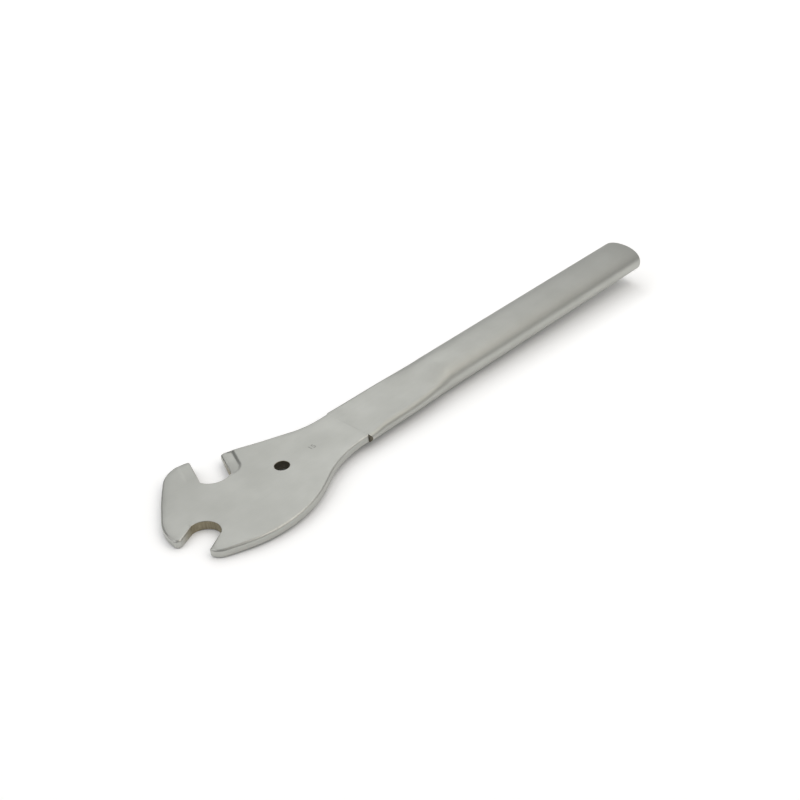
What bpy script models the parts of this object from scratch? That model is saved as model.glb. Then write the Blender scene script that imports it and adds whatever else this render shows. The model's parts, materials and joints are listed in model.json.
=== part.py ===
"""Pedal wrench: a flat steel head with two open jaws, its tang held in a pressed oval tube.

Metres, +Z up, the handle along +X. The head is drawn round the centre of its hanging hole. An
empty then sets the wrench down, so that the origin is below the middle of its bounding box.
"""

import math

import bmesh
import bpy
import numpy as np
from mathutils import Matrix, Vector

# Head plate
PLATE_THICKNESS = 0.0048
EDGE_ROUND = 0.0008
JAW_EDGE_ROUND = 0.0003
HOLE_DIAMETER = 0.0076
ARC_SAG = 0.00002
ROUND_STEPS = 3

# Jaws: the width takes a 15 mm flat. A heading points into the jaw, an offset is that of the
# jaw's centre line to the right of the hole, and a floor is how far the jaw stops short of it.
# The sag is how much deeper the curved floor is in its middle than at its corners.
JAW_WIDTH = 0.0152
JAW_CORNER_RADIUS = 0.0006
SIDE_JAW_HEADING = 247.8
SIDE_JAW_OFFSET = 0.0314
SIDE_JAW_FLOOR = 0.0027
SIDE_JAW_FLOOR_SAG = 0.0038
FRONT_JAW_HEADING = 24.8
FRONT_JAW_OFFSET = -0.0141
FRONT_JAW_FLOOR = 0.0469
FRONT_JAW_FLOOR_SAG = 0.0053

# Recess that thins the cheeks of the side jaw, on the upper face only
RECESS_DEPTH = 0.0012
RECESS_CHEEK = 0.0062
RECESS_END_RADIUS = 0.0080
RECESS_SHORT_OF_FLOOR = 0.0018

# Outline of the head: each straight side by its heading in degrees and its distance from the
# hole, and the radius that joins it to the side before
FAR_FLANK_HEADING = 156.7
FAR_FLANK_DISTANCE = 0.02563
FAR_NECK_RADIUS = 0.045
SIDE_JAW_REAR_TIP_RADIUS = 0.0022
CROWN_HEADING = 161.5
CROWN_DISTANCE = 0.0289
SIDE_JAW_FRONT_TIP_RADIUS = 0.0017
BACK_HEADING = 233.7
BACK_DISTANCE = 0.0583
BACK_TOP_RADIUS = 0.0215
NOSE_HEADING = 270.0
NOSE_DISTANCE = 0.0678
BACK_NOSE_RADIUS = 0.044
FRONT_JAW_FAR_TIP_RADIUS = 0.0025
CHIN_HEADING = 289.4
CHIN_DISTANCE = 0.0648
FRONT_JAW_NEAR_TIP_RADIUS = 0.0012
BELLY_FRONT_HEADING = 338.5
BELLY_FRONT_DISTANCE = 0.04595
CHIN_RADIUS = 0.0080
BELLY_REAR_HEADING = 29.5
BELLY_REAR_DISTANCE = 0.0253
BELLY_RADIUS = 0.063
NEAR_NECK_RADIUS = 0.062

# Shoulders and tang
SHOULDER_X = 0.0445
SHOULDER_RADIUS = 0.0018
TANG_LENGTH = 0.042
TANG_ROOT_RADIUS = 0.0006
TANG_END_RADIUS = 0.004
TANG_STEP = 0.0004
NECK_INSET = 0.0008

# Handle tube: an oval, pressed flat over the tang at its front
HANDLE_Y = 0.0004
TUBE_LENGTH = 0.2351
TUBE_WALL = 0.0010
OVAL_WIDTH = 0.0277
OVAL_HEIGHT = 0.0166
OVAL_SQUARENESS = 2.2
PRESSED_LENGTH = 0.0305
OPENING_LENGTH = 0.034
OPENING_CURVE = 1.5
RIM_ROUND = 0.0004
FRONT_DROP = 0.0007
FRONT_TAPER = 0.0050
SEAM_GAP = 0.0003
FIT_CLEARANCE = 0.0003
TUBE_SIDES = 64
OPENING_RINGS = 9

# Finish
STEEL_COLOUR = (0.50, 0.51, 0.48, 1.0)
HANDLE_COLOUR = (0.47, 0.48, 0.46, 1.0)
STEEL_ROUGHNESS = 0.42


def steel(name, colour):
    """A satin steel material."""
    material = bpy.data.materials.new(name)
    material.use_nodes = True
    shader = material.node_tree.nodes["Principled BSDF"]
    shader.inputs["Base Color"].default_value = colour
    shader.inputs["Metallic"].default_value = 1.0
    shader.inputs["Roughness"].default_value = STEEL_ROUGHNESS
    return material


def solid(name, mesh_data, material):
    """An object with its faces turned outwards and its round parts shaded smooth."""
    mesh = bpy.data.meshes.new(name)
    bmesh.ops.recalc_face_normals(mesh_data, faces=mesh_data.faces)
    mesh_data.to_mesh(mesh)
    mesh_data.free()
    mesh.materials.append(material)
    mesh.shade_smooth()
    mesh.set_sharp_from_angle(angle=math.radians(35))
    part = bpy.data.objects.new(name, mesh)
    bpy.context.scene.collection.objects.link(part)
    return part


def heading_vector(degrees):
    """The unit vector along a heading."""
    angle = math.radians(degrees)
    return Vector((math.cos(angle), math.sin(angle)))


def right_of(degrees):
    """The unit vector to the right of a heading, which points out of the plate."""
    return heading_vector(degrees - 90)


def arc_steps(radius, degrees):
    """How many chords an arc needs to stay within ARC_SAG of its true curve."""
    widest = 2 * math.degrees(math.acos(1 - min(ARC_SAG / radius, 0.5)))
    return max(2, math.ceil(abs(degrees) / widest))


def meeting_point(side, other):
    """Where two straight sides cross."""
    rows = Matrix((right_of(side[0]), right_of(other[0])))
    return rows.inverted() @ Vector((side[1], other[1]))


def turn_between(heading, next_heading):
    """The turn in degrees from one heading to the next, positive to the left."""
    return (next_heading - heading + 180) % 360 - 180


def tangent_length(turn, radius):
    """How much of each straight side a rounded corner takes up."""
    return radius * math.tan(math.radians(abs(turn)) / 2)


def rounded_corner(corner, heading, next_heading, radius):
    """The points of the arc that joins two headings at a corner."""
    turn = turn_between(heading, next_heading)
    side = math.copysign(1, turn)
    start = corner - heading_vector(heading) * tangent_length(turn, radius)
    centre = start - right_of(heading) * side * radius
    count = arc_steps(radius, turn)
    return [
        centre + right_of(heading + turn * step / count) * side * radius
        for step in range(count + 1)
    ]


def jaw_sides(heading, offset):
    """The two flats of a jaw, the first one leading in and the second one leading out."""
    half = JAW_WIDTH / 2
    return (heading, offset - half), (heading + 180, -offset - half)


def jaw_floor(heading, offset, floor, sag):
    """The points of a jaw's curved floor, from one flat to the other, corners rounded."""
    inward, across = heading_vector(heading), right_of(heading)
    radius = (sag + (JAW_WIDTH / 2) ** 2 / sag) / 2
    centre = across * offset - inward * (floor + radius)
    half_turn = math.degrees(math.asin(JAW_WIDTH / 2 / radius))
    ends = [
        centre + heading_vector(heading + turn) * radius for turn in (half_turn, -half_turn)
    ]
    first = rounded_corner(ends[0], heading, heading + half_turn - 90, JAW_CORNER_RADIUS)
    last = rounded_corner(ends[1], heading - half_turn - 90, heading - 180, JAW_CORNER_RADIUS)
    count = arc_steps(radius, 2 * half_turn)
    arc = [
        centre + heading_vector(heading + half_turn * (1 - 2 * step / count)) * radius
        for step in range(1, count)
    ]
    return first + arc + last


def neck_half_width():
    """Half the width of the plate just ahead of the tube."""
    return pressed_half_width() - NECK_INSET


def tang_half_width():
    """Half the width of the tang, whose rounded edges clear the fold of the pressed tube."""
    return pressed_half_width() - pressed_half_height() + EDGE_ROUND


def head_sides():
    """Every straight side of the plate in order, each with the radius of the corner before it."""
    side_in, side_out = jaw_sides(SIDE_JAW_HEADING, SIDE_JAW_OFFSET)
    front_in, front_out = jaw_sides(FRONT_JAW_HEADING, FRONT_JAW_OFFSET)
    neck, tang = neck_half_width(), tang_half_width()
    shoulder = (90.0, SHOULDER_X)
    return [
        ((180.0, neck + HANDLE_Y), SHOULDER_RADIUS),
        ((FAR_FLANK_HEADING, FAR_FLANK_DISTANCE), FAR_NECK_RADIUS),
        (side_in, SIDE_JAW_REAR_TIP_RADIUS),
        (side_out, None),
        ((CROWN_HEADING, CROWN_DISTANCE), SIDE_JAW_FRONT_TIP_RADIUS),
        ((BACK_HEADING, BACK_DISTANCE), BACK_TOP_RADIUS),
        ((NOSE_HEADING, NOSE_DISTANCE), BACK_NOSE_RADIUS),
        (front_in, FRONT_JAW_FAR_TIP_RADIUS),
        (front_out, None),
        ((CHIN_HEADING, CHIN_DISTANCE), FRONT_JAW_NEAR_TIP_RADIUS),
        ((BELLY_FRONT_HEADING, BELLY_FRONT_DISTANCE), CHIN_RADIUS),
        ((BELLY_REAR_HEADING, BELLY_REAR_DISTANCE), BELLY_RADIUS),
        ((0.0, neck - HANDLE_Y), NEAR_NECK_RADIUS),
        (shoulder, SHOULDER_RADIUS),
        ((0.0, tang - HANDLE_Y), TANG_ROOT_RADIUS),
        ((90.0, SHOULDER_X + TANG_LENGTH), TANG_END_RADIUS),
        ((180.0, tang + HANDLE_Y), TANG_END_RADIUS),
        (shoulder, TANG_ROOT_RADIUS),
    ]


def starts_of(sides):
    """The points between each side and the one before: one at a corner, many at a jaw's floor."""
    floors = [
        jaw_floor(SIDE_JAW_HEADING, SIDE_JAW_OFFSET, SIDE_JAW_FLOOR, SIDE_JAW_FLOOR_SAG),
        jaw_floor(FRONT_JAW_HEADING, FRONT_JAW_OFFSET, FRONT_JAW_FLOOR, FRONT_JAW_FLOOR_SAG),
    ]
    return [
        floors.pop(0) if radius is None else [meeting_point(sides[index - 1][0], side)]
        for index, (side, radius) in enumerate(sides)
    ]


def fitting_radii(sides, starts):
    """The corner radii, made smaller where a side is too short for the two arcs on it."""
    tangents = [
        tangent_length(turn_between(sides[index - 1][0][0], side[0]), radius or 0.0)
        for index, (side, radius) in enumerate(sides)
    ]
    shares = []
    for index in range(len(sides)):
        after = (index + 1) % len(sides)
        length = (starts[after][0] - starts[index][-1]).length
        needed = tangents[index] + tangents[after]
        shares.append(min(1.0, 0.99 * length / max(needed, ARC_SAG)))
    return [
        (radius or 0.0) * min(shares[index - 1], shares[index])
        for index, (_, radius) in enumerate(sides)
    ]


def head_outline():
    """The plate's outline as points, each with the rounding of its edge there."""
    sides = head_sides()
    starts = starts_of(sides)
    radii = fitting_radii(sides, starts)
    outline = []
    for index, (side, _) in enumerate(sides):
        if len(starts[index]) > 1:
            outline += [(point, JAW_EDGE_ROUND) for point in starts[index]]
            continue
        before = sides[index - 1][0]
        arc = rounded_corner(starts[index][0], before[0], side[0], radii[index])
        outline += [(point, EDGE_ROUND) for point in arc]
    return outline


def outward_normals(points):
    """The outward direction at each point of a closed outline that runs anticlockwise."""
    normals = []
    for index, point in enumerate(points):
        before = (point - points[index - 1]).normalized()
        after = (points[(index + 1) % len(points)] - point).normalized()
        along = (before + after).normalized()
        normals.append(Vector((along.y, -along.x)))
    return normals


def bridge(mesh_data, rings):
    """Joins rings of vertices, one after the other, with a skin of quads."""
    for lower, upper in zip(rings, rings[1:]):
        for index in range(len(lower)):
            after = (index + 1) % len(lower)
            mesh_data.faces.new((lower[index], lower[after], upper[after], upper[index]))


def head_blank(material):
    """The plate with its jaws, before the recess and the hole are cut."""
    outline = head_outline()
    normals = outward_normals([point for point, _ in outline])
    mesh_data = bmesh.new()
    rings = []
    half = PLATE_THICKNESS / 2
    angles = [math.pi / 2 * step / ROUND_STEPS for step in range(ROUND_STEPS + 1)]
    for side, turns in ((-1, reversed(angles)), (1, angles)):
        for turn in turns:
            ring = []
            for (point, rounding), normal in zip(outline, normals):
                spot = point - normal * rounding * (1 - math.cos(turn))
                height = side * (half - rounding * (1 - math.sin(turn)))
                ring.append(mesh_data.verts.new((spot.x, spot.y, height)))
            rings.append(ring)
    bridge(mesh_data, rings)
    mesh_data.faces.new(rings[0])
    mesh_data.faces.new(rings[-1])
    return solid("head_plate", mesh_data, material)


def prism(name, points, bottom, top):
    """A cutter of this outline between two heights, hidden from the finished part."""
    mesh_data = bmesh.new()
    rings = [[mesh_data.verts.new((p.x, p.y, z)) for p in points] for z in (bottom, top)]
    bridge(mesh_data, rings)
    for ring in rings:
        mesh_data.faces.new(ring)
    bmesh.ops.recalc_face_normals(mesh_data, faces=mesh_data.faces)
    mesh = bpy.data.meshes.new(name)
    mesh_data.to_mesh(mesh)
    mesh_data.free()
    cutter = bpy.data.objects.new(name, mesh)
    bpy.context.scene.collection.objects.link(cutter)
    cutter.hide_render = True
    cutter.display_type = "WIRE"
    return cutter


def recess_outline():
    """A slot with a round-cornered end, round the side jaw."""
    heading = SIDE_JAW_HEADING
    half = JAW_WIDTH / 2 + RECESS_CHEEK
    reach = max(point.length for point, _ in head_outline())
    inward = (heading, SIDE_JAW_OFFSET - half)
    outward = (heading + 180, -SIDE_JAW_OFFSET - half)
    floor = (heading - 90, SIDE_JAW_FLOOR + RECESS_SHORT_OF_FLOOR)
    mouth = (heading + 90, -reach)
    points = [meeting_point(mouth, inward)]
    for side, after in ((inward, floor), (floor, outward)):
        corner = meeting_point(side, after)
        points += rounded_corner(corner, side[0], after[0], RECESS_END_RADIUS)
    points.append(meeting_point(outward, mouth))
    return points


def cut(part, cutter):
    """Cuts one shape out of a part."""
    modifier = part.modifiers.new(cutter.name, "BOOLEAN")
    modifier.operation = "DIFFERENCE"
    modifier.solver = "EXACT"
    modifier.object = cutter


def tang_outline():
    """A rectangle over the whole tang, from its shoulders on."""
    reach = SHOULDER_X + 2 * TANG_LENGTH
    side = OVAL_WIDTH
    return [Vector(p) for p in ((SHOULDER_X, -side), (reach, -side), (reach, side), (SHOULDER_X, side))]


def head_plate(material):
    """The finished plate: blank, thinned cheeks, thinned tang and hanging hole."""
    plate = head_blank(material)
    half = PLATE_THICKNESS / 2
    cut(plate, prism("recess_cutter", recess_outline(), half - RECESS_DEPTH, 2 * half))
    cut(plate, prism("tang_top_cutter", tang_outline(), half - TANG_STEP, 2 * half))
    cut(plate, prism("tang_underside_cutter", tang_outline(), -2 * half, TANG_STEP - half))
    radius = HOLE_DIAMETER / 2
    count = arc_steps(radius, 360)
    circle = [heading_vector(360 * step / count) * radius for step in range(count)]
    cut(plate, prism("hole_cutter", circle, -2 * half, 2 * half))
    return plate


def oval(half_width, half_height):
    """A closed, slightly squared ellipse as dense points."""
    turn = np.linspace(0, 2 * math.pi, 721)
    power = 2 / OVAL_SQUARENESS
    cosine, sine = np.cos(turn), np.sin(turn)
    across = half_width * np.sign(cosine) * np.abs(cosine) ** power
    up = half_height * np.sign(sine) * np.abs(sine) ** power
    return np.column_stack((across, up))


def flat_oval(half_width, half_height):
    """A closed shape of two flats joined by half circles, as dense points."""
    turn = np.linspace(0, 2 * math.pi, 721)
    flat = half_width - half_height
    across = half_height * np.cos(turn) + flat * np.sign(np.round(np.cos(turn), 9))
    return np.column_stack((across, half_height * np.sin(turn)))


def perimeter(section):
    """The length of a closed section."""
    return float(np.linalg.norm(np.diff(section, axis=0), axis=1).sum())


def pressed_half_height():
    """Half the height of the tube where it is pressed on the tang."""
    return PLATE_THICKNESS / 2 - TANG_STEP + FIT_CLEARANCE + TUBE_WALL


def pressed_half_width():
    """Half the width of the pressed tube, whose outer skin is as long as the oval's."""
    half_height = pressed_half_height()
    around = perimeter(oval(OVAL_WIDTH / 2, OVAL_HEIGHT / 2))
    return half_height + (around - 2 * math.pi * half_height) / 4


def spaced(section):
    """TUBE_SIDES points at equal distances round a section."""
    steps = np.linalg.norm(np.diff(section, axis=0), axis=1)
    distance = np.concatenate(([0], np.cumsum(steps)))
    wanted = np.linspace(0, distance[-1], TUBE_SIDES, endpoint=False)
    return np.column_stack([np.interp(wanted, distance, section[:, axis]) for axis in (0, 1)])


def tube_section(opened, inset):
    """The tube's section: 0 opened is pressed flat, 1 opened is the full oval."""
    pressed = spaced(flat_oval(pressed_half_width() - inset, pressed_half_height() - inset))
    full = spaced(oval(OVAL_WIDTH / 2 - inset, OVAL_HEIGHT / 2 - inset))
    return pressed * (1 - opened) + full * opened


def tube_stations():
    """Each place along the tube as a pair: distance from its front, and how far it is opened."""
    stations = []
    for ring in range(OPENING_RINGS + 1):
        share = ring / OPENING_RINGS
        stations.append((PRESSED_LENGTH + OPENING_LENGTH * share, share**OPENING_CURVE))
    return stations


def tube_ring(mesh_data, distance, opened, inset):
    """One ring of vertices across the tube."""
    x = SHOULDER_X + SEAM_GAP + distance
    section = tube_section(opened, inset)
    return [mesh_data.verts.new((x, HANDLE_Y + y, z)) for y, z in section.tolist()]


def handle_tube(material):
    """The hollow handle: tapered front rim, outer skin, rounded far rim and inner skin."""
    mesh_data = bmesh.new()
    stations = tube_stations()
    turns = [math.pi / 2 * step / ROUND_STEPS for step in range(ROUND_STEPS + 1)]
    rings = []
    for turn in turns:
        distance = FRONT_TAPER * (1 - math.cos(turn))
        rings.append(tube_ring(mesh_data, distance, 0.0, FRONT_DROP * (1 - math.sin(turn))))
    rings += [tube_ring(mesh_data, *station, 0.0) for station in stations]
    for turn in turns:
        distance = TUBE_LENGTH - RIM_ROUND * (1 - math.sin(turn))
        rings.append(tube_ring(mesh_data, distance, 1.0, RIM_ROUND * (1 - math.cos(turn))))
    rings.append(tube_ring(mesh_data, TUBE_LENGTH, 1.0, TUBE_WALL))
    rings += [tube_ring(mesh_data, *station, TUBE_WALL) for station in reversed(stations)]
    rings.append(tube_ring(mesh_data, 0.0, 0.0, TUBE_WALL))
    rings.append(rings[0])
    bridge(mesh_data, rings)
    return solid("handle_tube", mesh_data, material)


def set_down(parts):
    """Parents the parts to an empty that brings the middle of their footprint to the origin."""
    bpy.context.view_layer.update()
    corners = np.array([tuple(corner) for part in parts for corner in part.bound_box])
    low, high = corners.min(axis=0), corners.max(axis=0)
    frame = bpy.data.objects.new("wrench_frame", None)
    bpy.context.scene.collection.objects.link(frame)
    frame.location = (-(low[0] + high[0]) / 2, -(low[1] + high[1]) / 2, -low[2])
    for part in parts:
        part.parent = frame
        for modifier in part.modifiers:
            modifier.object.parent = frame


def clear_scene():
    """Removes every object that the scene starts with."""
    for thing in list(bpy.data.objects):
        bpy.data.objects.remove(thing, do_unlink=True)


def main():
    clear_scene()
    head = head_plate(steel("head_steel", STEEL_COLOUR))
    handle = handle_tube(steel("handle_steel", HANDLE_COLOUR))
    set_down([head, handle])


main()
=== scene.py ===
"""Looks of the pedal wrench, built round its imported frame. All lengths are in metres."""

import json
import math

import bmesh
import bpy
import numpy as np
from mathutils import Matrix, Vector
from mathutils.geometry import delaunay_2d_cdt


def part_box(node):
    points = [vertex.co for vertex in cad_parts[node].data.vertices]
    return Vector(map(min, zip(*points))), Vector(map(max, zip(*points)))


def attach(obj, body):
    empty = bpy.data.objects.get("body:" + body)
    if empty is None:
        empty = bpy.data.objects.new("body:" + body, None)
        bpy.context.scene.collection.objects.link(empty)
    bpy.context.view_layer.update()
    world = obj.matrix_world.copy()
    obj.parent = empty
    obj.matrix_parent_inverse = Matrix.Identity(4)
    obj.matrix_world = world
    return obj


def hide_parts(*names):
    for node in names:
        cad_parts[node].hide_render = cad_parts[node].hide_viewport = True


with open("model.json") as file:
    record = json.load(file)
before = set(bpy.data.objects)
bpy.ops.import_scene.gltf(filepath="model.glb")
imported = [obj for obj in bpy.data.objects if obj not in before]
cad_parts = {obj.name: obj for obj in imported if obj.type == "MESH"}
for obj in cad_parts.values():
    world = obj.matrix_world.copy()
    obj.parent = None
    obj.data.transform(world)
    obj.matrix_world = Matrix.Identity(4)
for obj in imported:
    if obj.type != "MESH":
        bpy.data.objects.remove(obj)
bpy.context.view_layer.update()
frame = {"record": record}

# Places and directions are counted from the hanging hole's centre, at the plate's middle height,
# with +X along the handle.
opening = next(o for o in frame["record"]["physics"]["openings"] if o["name"] == "hanging_hole")
HOLE = (Vector(opening["box_m"][0]) + Vector(opening["box_m"][1])) / 2

# Head plate. ARC_SAG is how far a chord may stand off its arc, and ARC_SHARE is the most of a
# straight side that the arcs at its two ends take up.
PLATE_THICKNESS = 0.0048
JAW_EDGE_ROUND = 0.0003
HOLE_DIAMETER = 0.0076
ARC_SAG = 0.00002
ARC_SHARE = 0.99
HALF = PLATE_THICKNESS / 2

# Jaws: the width takes a 15 mm flat. A heading points into the jaw, an offset is that of the
# jaw's centre line to the right of the hole, and a floor is how far the jaw stops short of it.
# The sag is how much deeper the curved floor is in its middle than at its corners.
JAW_WIDTH = 0.0152
JAW_CORNER_RADIUS = 0.0006
SIDE_JAW_HEADING = 247.8
SIDE_JAW_OFFSET = 0.0314
SIDE_JAW_FLOOR = 0.0027
SIDE_JAW_FLOOR_SAG = 0.0038
FRONT_JAW_HEADING = 24.8
FRONT_JAW_OFFSET = -0.0141
FRONT_JAW_FLOOR = 0.0469
FRONT_JAW_FLOOR_SAG = 0.0053

# Recess that thins the cheeks of the side jaw, on the upper face only. It runs out over
# RECESS_FADE towards the jaw's floor, and the front cheek has a share of its depth.
RECESS_DEPTH = 0.0009
RECESS_CHEEK = 0.0062
RECESS_END_RADIUS = 0.0080
RECESS_SHORT_OF_FLOOR = 0.0018
RECESS_SLOPE = 0.0018
RECESS_FADE = 0.0150
FRONT_CHEEK_DEPTH = 0.35

# Outline of the head: each straight side by its heading in degrees and its distance from the
# hole, and the radius that joins it to the side before
FAR_FLANK_HEADING = 156.7
FAR_FLANK_DISTANCE = 0.02563
FAR_NECK_RADIUS = 0.045
SIDE_JAW_REAR_TIP_RADIUS = 0.0022
CROWN_HEADING = 161.5
CROWN_DISTANCE = 0.0289
SIDE_JAW_FRONT_TIP_RADIUS = 0.0017
BACK_TOP_HEADING = 230.0
BACK_TOP_DISTANCE = 0.05725
BACK_TOP_RADIUS = 0.0221
BACK_HEADING = 234.6
BACK_DISTANCE = 0.0584
BACK_RADIUS = 0.22
NOSE_HEADING = 270.0
NOSE_DISTANCE = 0.0682
BACK_NOSE_RADIUS = 0.0393
FRONT_JAW_FAR_TIP_RADIUS = 0.0036
CHIN_HEADING = 289.4
CHIN_DISTANCE = 0.0648
FRONT_JAW_NEAR_TIP_RADIUS = 0.0012
BELLY_FRONT_HEADING = 338.5
BELLY_FRONT_DISTANCE = 0.04595
CHIN_RADIUS = 0.0080
BELLY_REAR_HEADING = 29.5
BELLY_REAR_DISTANCE = 0.0253
BELLY_RADIUS = 0.063
NEAR_NECK_RADIUS = 0.062

# Shoulders and tang
SHOULDER_X = 0.0445
SHOULDER_RADIUS = 0.0012
TANG_LENGTH = 0.042
TANG_ROOT_RADIUS = 0.0006
TANG_END_RADIUS = 0.004
TANG_STEP = 0.0004
TANG_RELIEF = 0.0008
NECK_INSET = 0.0008

# How round the plate's edges are, and how far and how wide its faces fall to them
SOFT_EDGE_ROUND = 0.0011
SEAM_EDGE_ROUND = 0.0001
HOLE_EDGE_ROUND = 0.0003
CROWN_DROP = 0.00028
CROWN_WIDTH = 0.0036

# How finely the head is modelled: the rings of an edge, the spacing of the points near an edge and
# elsewhere, how far the fine ones reach, how much of a step they keep off the edge, the least
# distance past the shoulder that counts as the tang, and how close points are merged
RIM_STEPS = 8
FINE_STEP = 0.00038
COARSE_STEP = 0.0009
FINE_REACH = 0.0011
EDGE_GAP = 0.6
PAST_SHOULDER = 1e-5
MERGE_DISTANCE = 1e-9

# What the mesh tells its steel: how worn a face is at its edge and how far that reaches, and the
# share of raw steel with painted shade on the walls, where 1 is raw steel darkened with painted
# shade and more is a darker painted shade on the deep walls
FACE_WEAR = 0.5
WEAR_REACH = 0.0007
DEEP_SHADE = 1.8

# Handle tube, pressed flat over the tang and then opening to the full oval
HANDLE_Y = 0.0004
TUBE_WALL = 0.0010
OVAL_WIDTH = 0.0277
OVAL_HEIGHT = 0.0166
OVAL_SQUARENESS = 2.2
PRESSED_HALF = 0.0033
PRESSED_LENGTH = 0.0305
OPENING_LENGTH = 0.034
OPENING_CURVE = 1.5
RIM_ROUND = 0.0004
INNER_RIM_ROUND = 0.0002

# Front of the tube: over FRONT_TAPER, in FRONT_RINGS rings, it drops flush with the plate and
# spreads to its sides. It laps over the shoulder, and its two folds stand back from the seam,
# the more sharply the higher the power. FRONT_RIM narrows its front edge.
FRONT_DROP = 0.00089
FRONT_TAPER = 0.0140
FRONT_SPREAD = 0.0006
FRONT_RIM = 0.00005
FRONT_RINGS = 14
FRONT_LAP = 0.0003
FRONT_SETBACK = 0.0015
SETBACK_POWER = 16

# How finely the tube is modelled
TUBE_SIDES = 192
SECTION_POINTS = 1441
PRESSED_SHARES = (0.55, 0.7, 0.85)
OPENING_RINGS = 44
STRAIGHT_RINGS = 12
STRAIGHT_SHORT_OF_END = 0.003

# Size mark, a plain number by the shoulder, counted from the hole
MARK_TEXT = "15"
MARK_HEIGHT = 0.0030
MARK_LIFT = 0.00002
MARK_PLACE = Vector((0.0194, -0.0002, HALF + MARK_LIFT))
TEXT_SIZE_TO_HEIGHT = 1.4

# Camera, solved from the hole, the jaws and the outline
TARGET = Vector((0.076169, -0.005461, 0.0024))
CAMERA_DISTANCE = 0.601975
CAMERA_AZIMUTH = -133.3391
CAMERA_ELEVATION = 33.3271
CAMERA_ROLL = -4.8480
CAMERA_LENS = 52.625
SENSOR = 36.0


# Head

def heading_vector(degrees):
    """The unit vector along a heading."""
    angle = math.radians(degrees)
    return Vector((math.cos(angle), math.sin(angle)))


def right_of(degrees):
    """The unit vector to the right of a heading, which points out of the plate."""
    return heading_vector(degrees - 90)


def arc_steps(radius, degrees):
    """How many chords an arc needs to stay within ARC_SAG of its true curve."""
    widest = 2 * math.degrees(math.acos(1 - min(ARC_SAG / radius, 0.5)))
    return max(2, math.ceil(abs(degrees) / widest))


def meeting_point(side, other):
    """Where two straight sides cross."""
    rows = Matrix((right_of(side[0]), right_of(other[0])))
    return rows.inverted() @ Vector((side[1], other[1]))


def turn_between(heading, next_heading):
    """The turn in degrees from one heading to the next, positive to the left."""
    return (next_heading - heading + 180) % 360 - 180


def tangent_length(turn, radius):
    """How much of each straight side a rounded corner takes up."""
    return radius * math.tan(math.radians(abs(turn)) / 2)


def rounded_corner(corner, heading, next_heading, radius):
    """The points of the arc that joins two headings at a corner."""
    turn = turn_between(heading, next_heading)
    side = math.copysign(1, turn)
    start = corner - heading_vector(heading) * tangent_length(turn, radius)
    centre = start - right_of(heading) * side * radius
    count = arc_steps(radius, turn)
    return [
        centre + right_of(heading + turn * step / count) * side * radius
        for step in range(count + 1)
    ]


def jaw_sides(heading, offset):
    """The two flats of a jaw, the first one leading in and the second one leading out."""
    half = JAW_WIDTH / 2
    return (heading, offset - half), (heading + 180, -offset - half)


def jaw_floor(heading, offset, floor, sag):
    """The points of a jaw's curved floor, from one flat to the other, corners rounded."""
    inward, across = heading_vector(heading), right_of(heading)
    radius = (sag + (JAW_WIDTH / 2) ** 2 / sag) / 2
    centre = across * offset - inward * (floor + radius)
    half_turn = math.degrees(math.asin(JAW_WIDTH / 2 / radius))
    ends = [
        centre + heading_vector(heading + turn) * radius for turn in (half_turn, -half_turn)
    ]
    first = rounded_corner(ends[0], heading, heading + half_turn - 90, JAW_CORNER_RADIUS)
    last = rounded_corner(ends[1], heading - half_turn - 90, heading - 180, JAW_CORNER_RADIUS)
    count = arc_steps(radius, 2 * half_turn)
    arc = [
        centre + heading_vector(heading + half_turn * (1 - 2 * step / count)) * radius
        for step in range(1, count)
    ]
    return first + arc + last


def head_sides():
    """Every straight side of the plate in order, each with the radius of the corner before it."""
    side_in, side_out = jaw_sides(SIDE_JAW_HEADING, SIDE_JAW_OFFSET)
    front_in, front_out = jaw_sides(FRONT_JAW_HEADING, FRONT_JAW_OFFSET)
    neck = pressed_half_width() - NECK_INSET
    tang = pressed_half_width() - PRESSED_HALF - TANG_RELIEF
    shoulder = (90.0, SHOULDER_X)
    return [
        ((180.0, neck + HANDLE_Y), SHOULDER_RADIUS),
        ((FAR_FLANK_HEADING, FAR_FLANK_DISTANCE), FAR_NECK_RADIUS),
        (side_in, SIDE_JAW_REAR_TIP_RADIUS),
        (side_out, None),
        ((CROWN_HEADING, CROWN_DISTANCE), SIDE_JAW_FRONT_TIP_RADIUS),
        ((BACK_TOP_HEADING, BACK_TOP_DISTANCE), BACK_TOP_RADIUS),
        ((BACK_HEADING, BACK_DISTANCE), BACK_RADIUS),
        ((NOSE_HEADING, NOSE_DISTANCE), BACK_NOSE_RADIUS),
        (front_in, FRONT_JAW_FAR_TIP_RADIUS),
        (front_out, None),
        ((CHIN_HEADING, CHIN_DISTANCE), FRONT_JAW_NEAR_TIP_RADIUS),
        ((BELLY_FRONT_HEADING, BELLY_FRONT_DISTANCE), CHIN_RADIUS),
        ((BELLY_REAR_HEADING, BELLY_REAR_DISTANCE), BELLY_RADIUS),
        ((0.0, neck - HANDLE_Y), NEAR_NECK_RADIUS),
        (shoulder, SHOULDER_RADIUS),
        ((0.0, tang - HANDLE_Y), TANG_ROOT_RADIUS),
        ((90.0, SHOULDER_X + TANG_LENGTH), TANG_END_RADIUS),
        ((180.0, tang + HANDLE_Y), TANG_END_RADIUS),
        (shoulder, TANG_ROOT_RADIUS),
    ]


def starts_of(sides):
    """The points between each side and the one before: one at a corner, many at a jaw's floor."""
    floors = [
        jaw_floor(SIDE_JAW_HEADING, SIDE_JAW_OFFSET, SIDE_JAW_FLOOR, SIDE_JAW_FLOOR_SAG),
        jaw_floor(FRONT_JAW_HEADING, FRONT_JAW_OFFSET, FRONT_JAW_FLOOR, FRONT_JAW_FLOOR_SAG),
    ]
    return [
        floors.pop(0) if radius is None else [meeting_point(sides[index - 1][0], side)]
        for index, (side, radius) in enumerate(sides)
    ]


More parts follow.
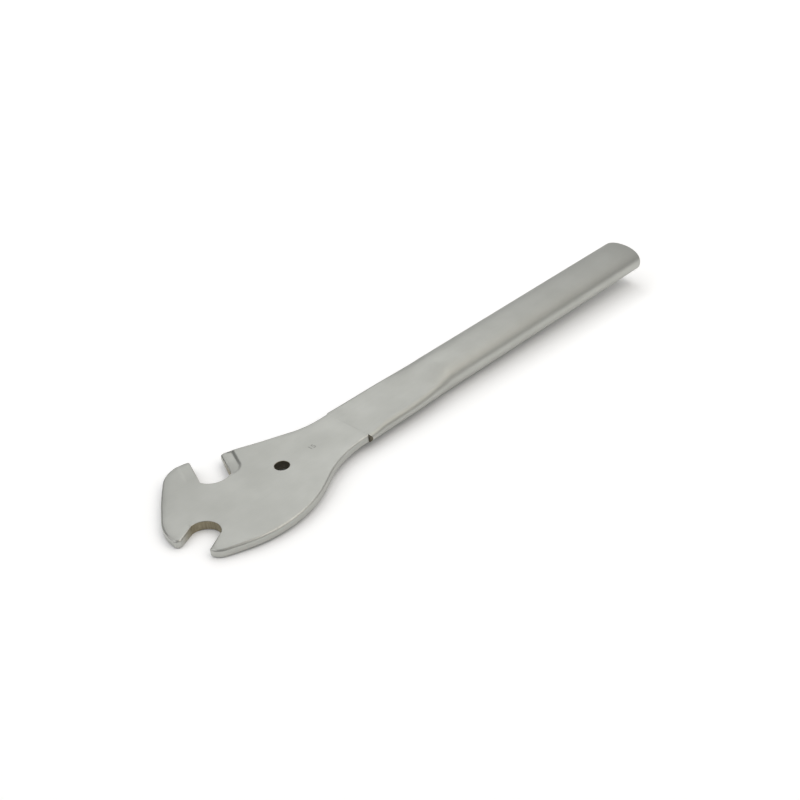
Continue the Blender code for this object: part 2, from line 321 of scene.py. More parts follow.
def fitting_radii(sides, starts):
    """The corner radii, made smaller where a side is too short for the two arcs on it."""
    tangents = [
        tangent_length(turn_between(sides[index - 1][0][0], side[0]), radius or 0.0)
        for index, (side, radius) in enumerate(sides)
    ]
    shares = []
    for index in range(len(sides)):
        after = (index + 1) % len(sides)
        length = (starts[after][0] - starts[index][-1]).length
        needed = tangents[index] + tangents[after]
        shares.append(min(1.0, ARC_SHARE * length / max(needed, ARC_SAG)))
    return [
        (radius or 0.0) * min(shares[index - 1], shares[index])
        for index, (_, radius) in enumerate(sides)
    ]


def smooth(share):
    """A share from 0 to 1 with soft ends."""
    share = np.clip(share, 0, 1)
    return share * share * (3 - 2 * share)


def edge_round(point):
    """How round the plate's edge is: soft all round the head, and crisp where the tube meets it."""
    share = smooth((SHOULDER_X - point.x) / SHOULDER_RADIUS)
    return SEAM_EDGE_ROUND + (SOFT_EDGE_ROUND - SEAM_EDGE_ROUND) * float(share)


def head_outline():
    """The plate's outline as points, each with the rounding of its edge there."""
    sides = head_sides()
    starts = starts_of(sides)
    radii = fitting_radii(sides, starts)
    outline = []
    for index, (side, _) in enumerate(sides):
        if len(starts[index]) > 1:
            outline += [(point, JAW_EDGE_ROUND) for point in starts[index]]
            continue
        before = sides[index - 1][0]
        arc = rounded_corner(starts[index][0], before[0], side[0], radii[index])
        outline += [(point, edge_round(point)) for point in arc]
    return outline


def outwards(loop):
    """The direction out of the material at each point of a loop that keeps it on its left."""
    before = loop - np.roll(loop, 1, axis=0)
    after = np.roll(loop, -1, axis=0) - loop
    before /= np.linalg.norm(before, axis=1, keepdims=True)
    after /= np.linalg.norm(after, axis=1, keepdims=True)
    along = before + after
    along /= np.linalg.norm(along, axis=1, keepdims=True)
    return np.column_stack((along[:, 1], -along[:, 0]))


def distance_to(points, loops):
    """The distance from each point to the nearest loop, and the nearest loop point's number."""
    best = np.full(len(points), np.inf)
    nearest = np.zeros(len(points), int)
    first = 0
    for loop in loops:
        for index, start in enumerate(loop):
            end = loop[(index + 1) % len(loop)]
            along = end - start
            share = np.clip((points - start) @ along / (along @ along), 0, 1)
            gap = np.linalg.norm(points - start - share[:, None] * along, axis=1)
            closer = gap < best
            best[closer] = gap[closer]
            nearest[closer] = first + index
        first += len(loop)
    return best, nearest


def inside(points, loops):
    """Which points lie in the material, by counting the walls to their right."""
    crossings = np.zeros(len(points), int)
    for loop in loops:
        for index, start in enumerate(loop):
            end = loop[(index + 1) % len(loop)]
            spans = (start[1] > points[:, 1]) != (end[1] > points[:, 1])
            if not spans.any():
                continue
            reach = start[0] + (points[:, 1] - start[1]) * (end[0] - start[0]) / (end[1] - start[1])
            crossings += spans & (points[:, 0] < reach)
    return crossings % 2 == 1


def in_side_jaw(points):
    """How far points lie to the right of the side jaw's centre line, and how far out along it."""
    local = points - np.array(HOLE.xy)
    across = local @ np.array(right_of(SIDE_JAW_HEADING)) - SIDE_JAW_OFFSET
    return across, -(local @ np.array(heading_vector(SIDE_JAW_HEADING)))


def recess_distance(points):
    """The distance from each point to the recess's edge, negative inside the recess."""
    across, out = in_side_jaw(points)
    side = np.abs(across) - (JAW_WIDTH / 2 + RECESS_CHEEK - RECESS_END_RADIUS)
    end = SIDE_JAW_FLOOR + RECESS_SHORT_OF_FLOOR + RECESS_END_RADIUS - out
    corner = np.hypot(side, end)
    straight = np.maximum(side, end)
    return np.where((side > 0) & (end > 0), corner, straight) - RECESS_END_RADIUS


def recess_depth(points):
    """The depth of the recess at each point, fading towards the floor, less on the front cheek."""
    across, out = in_side_jaw(points)
    cheek = np.where(across < 0, 1.0, FRONT_CHEEK_DEPTH)
    return RECESS_DEPTH * cheek * smooth((out - SIDE_JAW_FLOOR) / RECESS_FADE)


def face_drop(points, gap, softness, upper):
    """How far a face lies below its plane: crown, recess on the upper face, and the tang's step."""
    drop = CROWN_DROP * softness * np.clip(1 - gap / CROWN_WIDTH, 0, 1) ** 2
    if upper:
        drop = drop + recess_depth(points) * smooth(0.5 - recess_distance(points) / RECESS_SLOPE)
    return drop + TANG_STEP * (points[:, 0] > HOLE.x + SHOULDER_X + PAST_SHOULDER)


def grid(low, high, step):
    """A triangular grid of points over a rectangle."""
    rows = np.arange(low[1], high[1], step * math.sqrt(0.75))
    points = []
    for number, y in enumerate(rows):
        xs = np.arange(low[0] + step / 2 * (number % 2), high[0], step)
        points.append(np.column_stack((xs, np.full(len(xs), y))))
    return np.concatenate(points)


def interior_points(loops, inner_loops):
    """Points over the plate, closer along its edges and the recess, with a row at the shoulder."""
    low, high = loops[0].min(axis=0), loops[0].max(axis=0)
    kept = []
    for step, fine in ((FINE_STEP, True), (COARSE_STEP, False)):
        points = grid(low, high, step)
        points = points[inside(points, inner_loops)]
        gap, _ = distance_to(points, inner_loops)
        close = (np.abs(recess_distance(points)) < RECESS_SLOPE) | (gap < FINE_REACH)
        close &= points[:, 0] < HOLE.x + SHOULDER_X
        shoulder = np.abs(points[:, 0] - HOLE.x - SHOULDER_X) < step / 2
        points = points[(close == fine) & (gap > step * EDGE_GAP) & ~shoulder]
        kept.append(points)
    across = np.arange(low[1], high[1], COARSE_STEP)
    step_line = np.column_stack((np.full(len(across), HOLE.x + SHOULDER_X), across))
    step_line = step_line[inside(step_line, inner_loops)]
    gap, _ = distance_to(step_line, inner_loops)
    kept.append(step_line[gap > COARSE_STEP / 3])
    return np.concatenate(kept)


def quarter_turn():
    """The angles of the rings that round an edge, from the wall to the face."""
    return [math.pi / 2 * step / RIM_STEPS for step in range(RIM_STEPS + 1)]


def face_mesh(inner, field):
    """A flat mesh inside the loops: its points, the given points behind each, and its triangles."""
    everything = np.concatenate((np.concatenate(inner), field))
    edges, offset = [], 0
    for loop in inner:
        edges += [(offset + i, offset + (i + 1) % len(loop)) for i in range(len(loop))]
        offset += len(loop)
    result = delaunay_2d_cdt([Vector(p) for p in everything.tolist()], edges, [], 2, MERGE_DISTANCE)
    spots = np.array([tuple(v) for v in result[0]])
    centres = np.array([spots[list(t)].mean(axis=0) for t in result[2]])
    keep = inside(centres, inner)
    return spots, result[3], [t for t, wanted in zip(result[2], keep) if wanted]


def head_shape():
    """The plate with crowned faces, rounded edges and a recess with a sloping side."""
    middle = HOLE.z
    outline = head_outline()
    outer = np.array([tuple(point + HOLE.xy) for point, _ in outline])
    count = arc_steps(HOLE_DIAMETER / 2, 360)
    rim = np.array([
        tuple(heading_vector(360 * (0.5 - step / count)) * HOLE_DIAMETER / 2 + HOLE.xy)
        for step in range(count)
    ])
    loops = [outer, rim]
    normals = [outwards(loop) for loop in loops]
    radii = [np.array([rounding for _, rounding in outline]), np.full(count, HOLE_EDGE_ROUND)]
    softest = SOFT_EDGE_ROUND - JAW_EDGE_ROUND
    softness = [np.clip((radius - JAW_EDGE_ROUND) / softest, 0, 1) for radius in radii]
    # The jaw walls get the raw steel tone, which is partly painted shade
    jaw_walls = np.array([float(radius == JAW_EDGE_ROUND) for radius in radii[0]])
    # The hole's wall gets DEEP_SHADE, a darker painted shade
    raw_shade_shares = [jaw_walls, np.full(count, DEEP_SHADE)]
    inner = [l - n * r[:, None] for l, n, r in zip(loops, normals, radii)]

    vertices, faces, wear, raw_and_shade = [], [], [], []

    def add(points, heights, worn, raw_shade_share):
        first = len(vertices)
        vertices.extend((x, y, z) for (x, y), z in zip(points, heights))
        wear.extend(worn)
        raw_and_shade.extend(raw_shade_share)
        return first

    turns = quarter_turn()
    inner_first = []
    for loop, normal, radius, soft, raw_shade_share in zip(loops, normals, radii, softness, raw_shade_shares):
        starts = []
        for side, order in ((-1, reversed(turns)), (1, turns)):
            for turn in order:
                points = loop - normal * (radius * (1 - math.cos(turn)))[:, None]
                drop = face_drop(loop, radius, soft, side > 0)
                heights = middle + side * (HALF - drop - radius * (1 - math.sin(turn)))
                worn = np.full(len(loop), math.sin(2 * turn))
                starts.append(add(points, heights, worn, raw_shade_share * math.cos(turn) ** 2))
        count = len(loop)
        for low, high in zip(starts, starts[1:]):
            for index in range(count):
                after = (index + 1) % count
                faces.append((low + index, low + after, high + after, high + index))
        inner_first.append((starts[0], starts[-1]))

    spots, originals, triangles = face_mesh(inner, interior_points(loops, inner))
    gap, nearest = distance_to(spots, loops)
    soft = np.concatenate(softness)[nearest]
    worn = np.exp(-gap / WEAR_REACH) * FACE_WEAR
    sizes = np.cumsum([0] + [len(loop) for loop in inner])
    for upper in (False, True):
        drop = face_drop(spots, gap, soft, upper)
        heights = middle + (HALF - drop if upper else drop - HALF)
        number_of = {}
        first = add(spots, heights, worn, np.zeros(len(spots)))
        for index, source_indices in enumerate(originals):
            number_of[index] = first + index
            for original in source_indices:
                if original < sizes[-1]:
                    loop_number = int(np.searchsorted(sizes, original, side="right")) - 1
                    start = inner_first[loop_number][1 if upper else 0]
                    number_of[index] = start + int(original - sizes[loop_number])
        for triangle in triangles:
            corners = [number_of[index] for index in triangle]
            faces.append(tuple(corners if upper else corners[::-1]))
    return vertices, faces, wear, raw_and_shade


def make_piece(name, vertices, faces, wear, raw_and_shade, material, sharp=40):
    """A smooth-shaded mesh object that carries its wear and its share of raw, unplated steel with
    painted shade.
    """
    mesh = bpy.data.meshes.new(name)
    mesh.from_pydata([tuple(map(float, v)) for v in vertices], [], faces)
    for label, values in (("wear", wear), ("raw_and_shade", raw_and_shade)):
        attribute = mesh.attributes.new(label, "FLOAT", "POINT")
        attribute.data.foreach_set("value", np.array(values, dtype=np.float32))
    work = bmesh.new()
    work.from_mesh(mesh)
    loose = [v for v in work.verts if not v.link_faces]
    bmesh.ops.delete(work, geom=loose, context="VERTS")
    bmesh.ops.recalc_face_normals(work, faces=work.faces)
    work.to_mesh(mesh)
    work.free()
    mesh.shade_smooth()
    mesh.set_sharp_from_angle(angle=math.radians(sharp))
    mesh.materials.append(material)
    piece = bpy.data.objects.new(name, mesh)
    bpy.context.scene.collection.objects.link(piece)
    return piece


# Handle

def oval(half_width, half_height):
    """The full oval as closed points, squarer than an ellipse."""
    turn = np.linspace(0, 2 * math.pi, SECTION_POINTS)
    power = 2 / OVAL_SQUARENESS
    cosine, sine = np.cos(turn), np.sin(turn)
    across = half_width * np.sign(cosine) * np.abs(cosine) ** power
    up = half_height * np.sign(sine) * np.abs(sine) ** power
    return np.column_stack((across, up))


def flat_oval(half_width, half_height):
    """The pressed section as closed points: two flats joined by half circles."""
    turn = np.linspace(0, 2 * math.pi, SECTION_POINTS)
    flat = half_width - half_height
    across = half_height * np.cos(turn) + flat * np.sign(np.round(np.cos(turn), 9))
    return np.column_stack((across, half_height * np.sin(turn)))


def perimeter(section):
    """The length round a closed section."""
    return float(np.linalg.norm(np.diff(section, axis=0), axis=1).sum())


def spaced(section):
    """A section as TUBE_SIDES points that lie evenly along it."""
    steps = np.linalg.norm(np.diff(section, axis=0), axis=1)
    distance = np.concatenate(([0], np.cumsum(steps)))
    wanted = np.linspace(0, distance[-1], TUBE_SIDES, endpoint=False)
    return np.column_stack([np.interp(wanted, distance, section[:, axis]) for axis in (0, 1)])


def pressed_half_width():
    """Half the width of the pressed tube, whose skin is as long as the oval's."""
    around = perimeter(oval(OVAL_WIDTH / 2, OVAL_HEIGHT / 2))
    return PRESSED_HALF + (around - 2 * math.pi * PRESSED_HALF) / 4


def tube_section(opened, inset, side_inset=None):
    """The section of the tube: 0 is pressed flat and 1 is the full oval."""
    side_inset = inset if side_inset is None else side_inset
    pressed = spaced(flat_oval(pressed_half_width() - side_inset, PRESSED_HALF - inset))
    full = spaced(oval(OVAL_WIDTH / 2 - inset, OVAL_HEIGHT / 2 - inset))
    return pressed * (1 - opened) + full * opened


def tube_stations(length):
    """Places along the tube, each as its distance from the front and how far it is opened."""
    stations = [(PRESSED_LENGTH * share, 0.0) for share in PRESSED_SHARES]
    for ring in range(OPENING_RINGS + 1):
        share = ring / OPENING_RINGS
        stations.append((PRESSED_LENGTH + OPENING_LENGTH * share, share**OPENING_CURVE))
    opened_at = PRESSED_LENGTH + OPENING_LENGTH
    straight = length - STRAIGHT_SHORT_OF_END - opened_at
    for ring in range(1, STRAIGHT_RINGS):
        stations.append((opened_at + straight * ring / STRAIGHT_RINGS, 1.0))
    return stations


def tube_shape():
    """The hollow handle: front, outer skin, rounded far rim and inner skin."""
    start = HOLE.x + SHOULDER_X - FRONT_LAP
    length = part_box("handle_tube")[1].x - start
    half_width = pressed_half_width() + FRONT_SPREAD
    vertices, faces, wear, raw_and_shade = [], [], [], []
    starts = []

    def ring(distance, opened, inset, worn, raw_shade_share=0.0, side_inset=None):
        starts.append(len(vertices))
        setback = FRONT_SETBACK * max(0.0, 1 - distance / FRONT_TAPER)
        for across, up in tube_section(opened, inset, side_inset):
            along = start + distance + setback * (across / half_width) ** SETBACK_POWER
            vertices.append((along, HOLE.y + HANDLE_Y + across, HOLE.z + up))
            wear.append(worn)
            raw_and_shade.append(raw_shade_share)

    for step in range(FRONT_RINGS + 1):
        distance = FRONT_TAPER * (step / FRONT_RINGS) ** 2
        pressed = float(1 - smooth(distance / FRONT_TAPER))
        ring(distance, 0.0, FRONT_DROP * pressed, 0.0, 0.0, -FRONT_SPREAD * pressed)
    stations = tube_stations(length)
    for distance, opened in stations:
        ring(distance, opened, 0.0, 0.0)
    for turn in quarter_turn():
        inset = RIM_ROUND * (1 - math.cos(turn))
        ring(length - RIM_ROUND * (1 - math.sin(turn)), 1.0, inset, math.sin(turn))
    for turn in reversed(quarter_turn()):
        inset = TUBE_WALL - INNER_RIM_ROUND * (1 - math.cos(turn))
        ring(length - INNER_RIM_ROUND * (1 - math.sin(turn)), 1.0, inset, math.sin(turn))
    for distance, opened in reversed(stations):
        # The inner skin gets the raw steel tone, which is partly painted shade
        ring(distance, opened, TUBE_WALL, 0.0, 1.0)
    # The tube's front opening gets DEEP_SHADE, a darker painted shade
    ring(0.0, 0.0, TUBE_WALL, 0.0, DEEP_SHADE)
    ring(0.0, 0.0, FRONT_DROP + FRONT_RIM, 0.0, DEEP_SHADE, FRONT_RIM - FRONT_SPREAD)
    starts.append(starts[0])
    for near, far in zip(starts, starts[1:]):
        for index in range(TUBE_SIDES):
            after = (index + 1) % TUBE_SIDES
            faces.append((near + index, near + after, far + after, far + index))
    return vertices, faces, wear, raw_and_shade


# Size mark

def size_mark(text, height, place, material):
    """A small etched number that lies on the plate."""
    curve = bpy.data.curves.new("size_mark_text", "FONT")
    curve.body = text
    curve.size = height * TEXT_SIZE_TO_HEIGHT
    curve.align_x = "CENTER"
    curve.align_y = "CENTER"
    letters = bpy.data.objects.new("size_mark_letters", curve)
    bpy.context.scene.collection.objects.link(letters)
    bpy.context.view_layer.update()
    depsgraph = bpy.context.evaluated_depsgraph_get()
    mesh = bpy.data.meshes.new_from_object(letters.evaluated_get(depsgraph))
    bpy.data.objects.remove(letters)
    mesh.transform(Matrix.Translation(place))
    mesh.materials.clear()
    mesh.materials.append(material)
    mark = bpy.data.objects.new("size_mark", mesh)
    bpy.context.scene.collection.objects.link(mark)
    return mark


# Materials

WHITE = (1.0, 1.0, 1.0, 1.0)
RANGE_SOCKETS = ("From Min", "From Max", "To Min", "To Max")

# Satin steel of each piece: its colour, its darker patches, its worn edges and its roughness
HEAD_SATIN = ((0.50, 0.505, 0.475, 1.0), (0.47, 0.475, 0.445, 1.0), (0.60, 0.60, 0.57, 1.0), 0.46)
TUBE_SATIN = ((0.52, 0.525, 0.495, 1.0), (0.49, 0.495, 0.465, 1.0), (0.60, 0.60, 0.57, 1.0), 0.50)

# The cut walls of the jaws and the hole and the inside of the tube are raw steel, its tone darkened
# and browned with painted shade
RAW_AND_SHADE_LIGHT = (0.43, 0.385, 0.28, 1.0)
RAW_AND_SHADE_DARK = (0.28, 0.25, 0.18, 1.0)
# Painted shade deep in the hole and the tube's front opening
DEEP_SHADE_COLOUR = (0.16, 0.15, 0.125, 1.0)

# Etched number
MARK_DARK = (0.26, 0.26, 0.25, 1.0)
MARK_LIGHT = (0.40, 0.40, 0.38, 1.0)


class Nodes:
    """Short names for adding and joining shader nodes."""

    def __init__(self, material):
        material.use_nodes = True
        self.tree = material.node_tree
        self.shader = self.tree.nodes["Principled BSDF"]

    def add(self, kind, **values):
        """A new node with its settings."""
        node = self.tree.nodes.new(kind)
        for name, value in values.items():
            setattr(node, name, value)
        return node

    def link(self, source, target):
        """Join one socket to another."""
        self.tree.links.new(source, target)

    def noise(self, vector, scale, detail=3.0, rough=0.5):
        """A noise over the given place."""
        node = self.add("ShaderNodeTexNoise")
        node.inputs["Scale"].default_value = scale
        node.inputs["Detail"].default_value = detail
        node.inputs["Roughness"].default_value = rough
        self.link(vector, node.inputs["Vector"])
        return node.outputs["Fac"]

    def ranged(self, value, low, high, to_low, to_high):
        """A value moved from one range to another."""
        node = self.add("ShaderNodeMapRange")
        for name, number in zip(RANGE_SOCKETS, (low, high, to_low, to_high)):
            node.inputs[name].default_value = number
        self.link(value, node.inputs["Value"])
        return node.outputs["Result"]

    def math(self, operation, first, second):
        """The result of an operation on two values, each a socket or a number."""
        node = self.add("ShaderNodeMath", operation=operation)
        for socket, value in zip(node.inputs, (first, second)):
            if isinstance(value, (int, float)):
                socket.default_value = value
            else:
                self.link(value, socket)
        return node.outputs["Value"]

    def mixed(self, factor, first, second):
        """A colour mix; each colour is a socket or four numbers."""
        node = self.add("ShaderNodeMix", data_type="RGBA")
        self.link(factor, node.inputs["Factor"])
        for socket, colour in ((node.inputs[6], first), (node.inputs[7], second)):
            if isinstance(colour, tuple):
                socket.default_value = colour
            else:
                self.link(colour, socket)
        return node.outputs[2]

    def bump(self, height, strength, distance, normal=None):
        """A normal that follows a height."""
        node = self.add("ShaderNodeBump")
        node.inputs["Strength"].default_value = strength
        node.inputs["Distance"].default_value = distance
        self.link(height, node.inputs["Height"])
        if normal is not None:
            self.link(normal, node.inputs["Normal"])
        return node.outputs["Normal"]


def satin_steel(name, colour, darker, worn_colour, roughness):
    """Satin plated steel: blasted grain, faint cloudiness, fine draw marks and polished edges; its
    raw steel walls carry painted shade, darker on the deep walls.
    """
    material = bpy.data.materials.new(name)
    nodes = Nodes(material)
    place = nodes.add("ShaderNodeTexCoord").outputs["Object"]
    stretch = nodes.add("ShaderNodeMapping")
    stretch.inputs["Scale"].default_value = (0.06, 1.0, 1.0)
    nodes.link(place, stretch.inputs["Vector"])

    clouds = nodes.noise(place, 55.0, 3.0, 0.55)
    grain = nodes.noise(place, 2600.0, 2.0, 0.6)
    draw = nodes.noise(stretch.outputs["Vector"], 1500.0, 3.0, 0.6)
    specks = nodes.noise(place, 900.0, 3.0, 0.7)
    wear = nodes.add("ShaderNodeAttribute", attribute_name="wear").outputs["Fac"]

    raw_and_shade = nodes.add("ShaderNodeAttribute", attribute_name="raw_and_shade").outputs["Fac"]
    upright = nodes.add("ShaderNodeMapping")
    upright.inputs["Scale"].default_value = (1.0, 1.0, 0.08)
    nodes.link(place, upright.inputs["Vector"])
    streaks = nodes.noise(upright.outputs["Vector"], 1800.0, 3.0, 0.6)

    cloudy = nodes.mixed(nodes.ranged(clouds, 0.3, 0.7, 0.0, 1.0), darker, colour)
    speckled = nodes.mixed(nodes.ranged(specks, 0.62, 0.75, 0.0, 0.25), cloudy, darker)
    patchy = nodes.math("MULTIPLY", wear, nodes.ranged(specks, 0.35, 0.6, 0.3, 1.0))
    worn = nodes.ranged(patchy, 0.15, 0.9, 0.0, 0.75)
    edged = nodes.mixed(worn, speckled, worn_colour)
    # Raw steel tone of the cut walls, partly painted shade
    cut_and_shade_tone = nodes.mixed(nodes.ranged(streaks, 0.3, 0.7, 0.0, 1.0), RAW_AND_SHADE_DARK, RAW_AND_SHADE_LIGHT)
    # Darker painted shade deep in the hole and the tube's front opening
    deep_shade_tone = nodes.mixed(nodes.ranged(raw_and_shade, 1.0, 2.0, 0.0, 1.0), cut_and_shade_tone, DEEP_SHADE_COLOUR)
    raw_shade_share = nodes.ranged(raw_and_shade, 0.0, 1.0, 0.0, 1.0)
    nodes.link(nodes.mixed(raw_shade_share, edged, deep_shade_tone), nodes.shader.inputs["Base Color"])

    base = nodes.ranged(clouds, 0.25, 0.75, roughness + 0.03, roughness - 0.03)
    fine = nodes.ranged(draw, 0.3, 0.7, -0.03, 0.03)
    rough = nodes.math("ADD", base, fine)
    rough = nodes.math("SUBTRACT", rough, nodes.math("MULTIPLY", worn, 0.12))
    rough = nodes.math("ADD", rough, nodes.math("MULTIPLY", raw_shade_share, 0.14))
    nodes.link(rough, nodes.shader.inputs["Roughness"])

    waves = nodes.bump(clouds, 0.25, 0.0004)
    drawn = nodes.bump(draw, 0.06, 0.00006, waves)
    nodes.link(nodes.bump(grain, 0.10, 0.00008, drawn), nodes.shader.inputs["Normal"])
    nodes.shader.inputs["Metallic"].default_value = 1.0
    return material


def etched_mark(name):
    """The dull grey of a shallow etched number."""
    material = bpy.data.materials.new(name)
    nodes = Nodes(material)
    place = nodes.add("ShaderNodeTexCoord").outputs["Object"]
    mottled = nodes.noise(place, 3000.0, 3.0, 0.6)
    tint = nodes.mixed(nodes.ranged(mottled, 0.3, 0.7, 0.0, 1.0), MARK_DARK, MARK_LIGHT)
    nodes.link(tint, nodes.shader.inputs["Base Color"])
    nodes.shader.inputs["Metallic"].default_value = 1.0
    nodes.shader.inputs["Roughness"].default_value = 0.62
    nodes.link(nodes.bump(mottled, 0.3, 0.00005), nodes.shader.inputs["Normal"])
    return material


# Stage

# The floor's own glow, seen by camera, glossy and transmission rays, grows from below the wrench to
# the far floor, which the lamps don't reach. Its lower level near the wrench, and its dimming by
# ambient occlusion within SHADE_REACH, are a painted shadow round the wrench.
PAPER = (0.70, 0.70, 0.70, 1.0)
FLOOR_GLOW = 0.52
FAR_FLOOR_GLOW = 0.85
GLOW_FROM = 0.30
GLOW_TO = 1.20
FLOOR_HALF = 3.0
FLOOR_TILT = 2.0
SHADE_REACH = 0.020
SHADE_SAMPLES = 3

# What most lamps are turned to, counted from the hole
LAMP_AIM = (0.08, 0.0, 0.0)

# Room light: an even level, and broad lights by azimuth, elevation and level
WORLD_LEVEL = 0.03
SKY_FOCUS = 4.0
SKY_LIGHTS = ((45.0, 32.0, 0.34), (315.0, 32.0, 0.46), (222.0, 50.0, 0.24))


def seen_ray(tree):
    """1 for camera, glossy and transmission rays, and 0 for the rest."""
    path = tree.nodes.new("ShaderNodeLightPath")
    total = path.outputs["Is Camera Ray"]
    for name in ("Is Glossy Ray", "Is Transmission Ray"):
        join = tree.nodes.new("ShaderNodeMath")
        join.operation = "MAXIMUM"
        tree.links.new(total, join.inputs[0])
        tree.links.new(path.outputs[name], join.inputs[1])
        total = join.outputs["Value"]
    return total


def floor_material():
    """White paper that keeps the lamps' soft shadow, and whose glow carries a painted shadow near
    the wrench.
    """
    material = bpy.data.materials.new("floor_white")
    material.use_nodes = True
    tree = material.node_tree
    tree.nodes.clear()
    output = tree.nodes.new("ShaderNodeOutputMaterial")
    paper = tree.nodes.new("ShaderNodeBsdfDiffuse")
    paper.inputs["Color"].default_value = PAPER
    glow = tree.nodes.new("ShaderNodeEmission")
    glow.inputs["Color"].default_value = WHITE
    place = tree.nodes.new("ShaderNodeTexCoord")
    reach = tree.nodes.new("ShaderNodeVectorMath")
    reach.operation = "LENGTH"
    tree.links.new(place.outputs["Object"], reach.inputs[0])
    level = tree.nodes.new("ShaderNodeMapRange")
    level.interpolation_type = "SMOOTHSTEP"
    for name, number in zip(RANGE_SOCKETS, (GLOW_FROM, GLOW_TO, FLOOR_GLOW, FAR_FLOOR_GLOW)):
        level.inputs[name].default_value = number
    tree.links.new(reach.outputs["Value"], level.inputs["Value"])
    # Ambient occlusion dims the glow near the wrench: a painted shadow
    openness = tree.nodes.new("ShaderNodeAmbientOcclusion")
    openness.samples = SHADE_SAMPLES
    openness.inputs["Distance"].default_value = SHADE_REACH
    shaded = tree.nodes.new("ShaderNodeMath")
    shaded.operation = "MULTIPLY"
    tree.links.new(level.outputs["Result"], shaded.inputs[0])
    tree.links.new(openness.outputs["AO"], shaded.inputs[1])
    scale = tree.nodes.new("ShaderNodeMath")
    scale.operation = "MULTIPLY"
    tree.links.new(seen_ray(tree), scale.inputs[0])
    tree.links.new(shaded.outputs["Value"], scale.inputs[1])
    tree.links.new(scale.outputs["Value"], glow.inputs["Strength"])
    both = tree.nodes.new("ShaderNodeAddShader")
    tree.links.new(paper.outputs["BSDF"], both.inputs[0])
    tree.links.new(glow.outputs["Emission"], both.inputs[1])
    tree.links.new(both.outputs["Shader"], output.inputs["Surface"])
    return material


def add_floor():
    """A floor on which the handle's swell and the prongs' tips rest."""
    mesh = bpy.data.meshes.new("floor")
    low, high = -FLOOR_HALF, FLOOR_HALF
    corners = [(low, low, 0), (high, low, 0), (high, high, 0), (low, high, 0)]
    mesh.from_pydata(corners, [], [(0, 1, 2, 3)])
    mesh.materials.append(floor_material())
    floor = bpy.data.objects.new("floor", mesh)
    bpy.context.scene.collection.objects.link(floor)
    rest = HOLE.x + SHOULDER_X + PRESSED_LENGTH + OPENING_LENGTH
    floor.rotation_euler = (0, math.radians(FLOOR_TILT), 0)
    floor.location = (rest, 0, 0)


def direction(azimuth, elevation):
    """The unit vector at an azimuth and an elevation in degrees."""
    turn, rise = math.radians(azimuth), math.radians(elevation)
    return Vector((math.cos(rise) * math.cos(turn), math.cos(rise) * math.sin(turn), math.sin(rise)))


def add_world():
    """A pale room: an even level, and broad soft lights by azimuth, elevation and level."""
    world = bpy.data.worlds.new("studio")
    world.use_nodes = True
    tree = world.node_tree
    place = tree.nodes.new("ShaderNodeTexCoord").outputs["Generated"]
    base = tree.nodes.new("ShaderNodeValue")
    base.outputs["Value"].default_value = WORLD_LEVEL
    total = base.outputs["Value"]
    for azimuth, elevation, level in SKY_LIGHTS:
        facing = tree.nodes.new("ShaderNodeVectorMath")
        facing.operation = "DOT_PRODUCT"
        facing.inputs[1].default_value = direction(azimuth, elevation)
        tree.links.new(place, facing.inputs[0])
        lit_side = tree.nodes.new("ShaderNodeMath")
        lit_side.operation = "MAXIMUM"
        lit_side.inputs[1].default_value = 0.0
        tree.links.new(facing.outputs["Value"], lit_side.inputs[0])
        lobe = tree.nodes.new("ShaderNodeMath")
        lobe.operation = "POWER"
        lobe.inputs[1].default_value = SKY_FOCUS
        tree.links.new(lit_side.outputs["Value"], lobe.inputs[0])
        added = tree.nodes.new("ShaderNodeMath")
        added.operation = "MULTIPLY_ADD"
        added.inputs[1].default_value = level
        tree.links.new(lobe.outputs["Value"], added.inputs[0])
        tree.links.new(total, added.inputs[2])
        total = added.outputs["Value"]
    tree.links.new(total, tree.nodes["Background"].inputs["Strength"])
    tree.nodes["Background"].inputs["Color"].default_value = WHITE
    bpy.context.scene.world = world


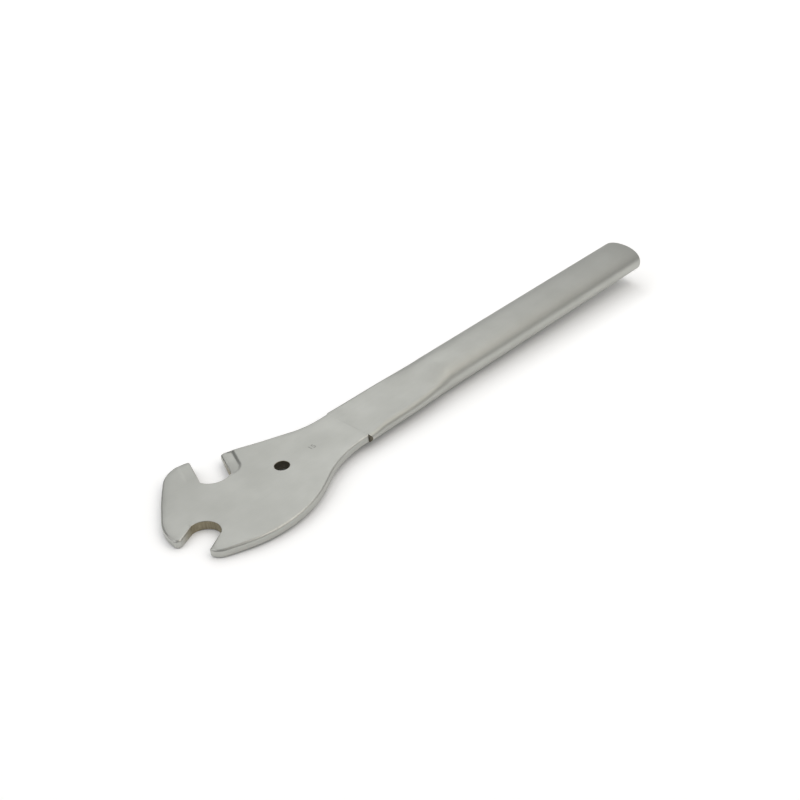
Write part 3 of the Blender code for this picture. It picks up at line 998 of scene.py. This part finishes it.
def add_lamp(name, place, aim, size, power, colour=(1.0, 1.0, 1.0)):
    """A soft square lamp at a place, turned to a point, both counted from the hole."""
    light = bpy.data.lights.new(name, "AREA")
    light.shape = "RECTANGLE"
    light.size, light.size_y = size
    light.energy = power
    light.color = colour
    lamp = bpy.data.objects.new(name, light)
    bpy.context.scene.collection.objects.link(lamp)
    lamp.location = HOLE + Vector(place)
    lamp.rotation_euler = (Vector(place) - Vector(aim)).to_track_quat("Z", "Y").to_euler()


def add_camera():
    """The solved camera: it looks at TARGET from its azimuth and elevation, and rolls."""
    back = direction(CAMERA_AZIMUTH, CAMERA_ELEVATION)
    right = Vector((0, 0, 1)).cross(back).normalized()
    up = back.cross(right)
    roll = math.radians(CAMERA_ROLL)
    turned_right = right * math.cos(roll) + up * math.sin(roll)
    turned_up = up * math.cos(roll) - right * math.sin(roll)
    data = bpy.data.cameras.new("camera")
    data.lens = CAMERA_LENS
    data.sensor_width = SENSOR
    data.sensor_fit = "HORIZONTAL"
    camera = bpy.data.objects.new("camera", data)
    bpy.context.scene.collection.objects.link(camera)
    rotation = Matrix((turned_right, turned_up, back)).transposed().to_4x4()
    camera.matrix_world = Matrix.Translation(HOLE + TARGET + back * CAMERA_DISTANCE) @ rotation
    bpy.context.scene.camera = camera


# Scene

add_camera()
add_world()
add_floor()
add_lamp("back_softbox", (0.35, 0.55, 0.65), LAMP_AIM, (0.7, 0.7), 1.30)
add_lamp("near_softbox", (0.25, -0.45, 0.60), LAMP_AIM, (0.6, 0.6), 1.50, (1.0, 0.94, 0.84))
add_lamp("nose_softbox", (-0.60, 0.40, 0.70), (0.0, 0.0, 0.0), (1.0, 1.0), 3.4)
add_lamp("top_softbox", (0.55, 0.0, 0.75), LAMP_AIM, (0.6, 0.6), 0.92)
add_lamp("far_softbox", (0.60, 0.50, 0.45), LAMP_AIM, (0.6, 0.6), 0.30)
bpy.context.scene.view_settings.view_transform = "Standard"

head = make_piece("satin_head", *head_shape(), satin_steel("head_satin", *HEAD_SATIN))
tube = make_piece("satin_tube", *tube_shape(), satin_steel("tube_satin", *TUBE_SATIN), sharp=60)
mark = size_mark(MARK_TEXT, MARK_HEIGHT, HOLE + MARK_PLACE, etched_mark("mark_grey"))
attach(head, "root")
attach(tube, "root")
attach(mark, "root")
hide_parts("head_plate")
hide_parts("handle_tube")
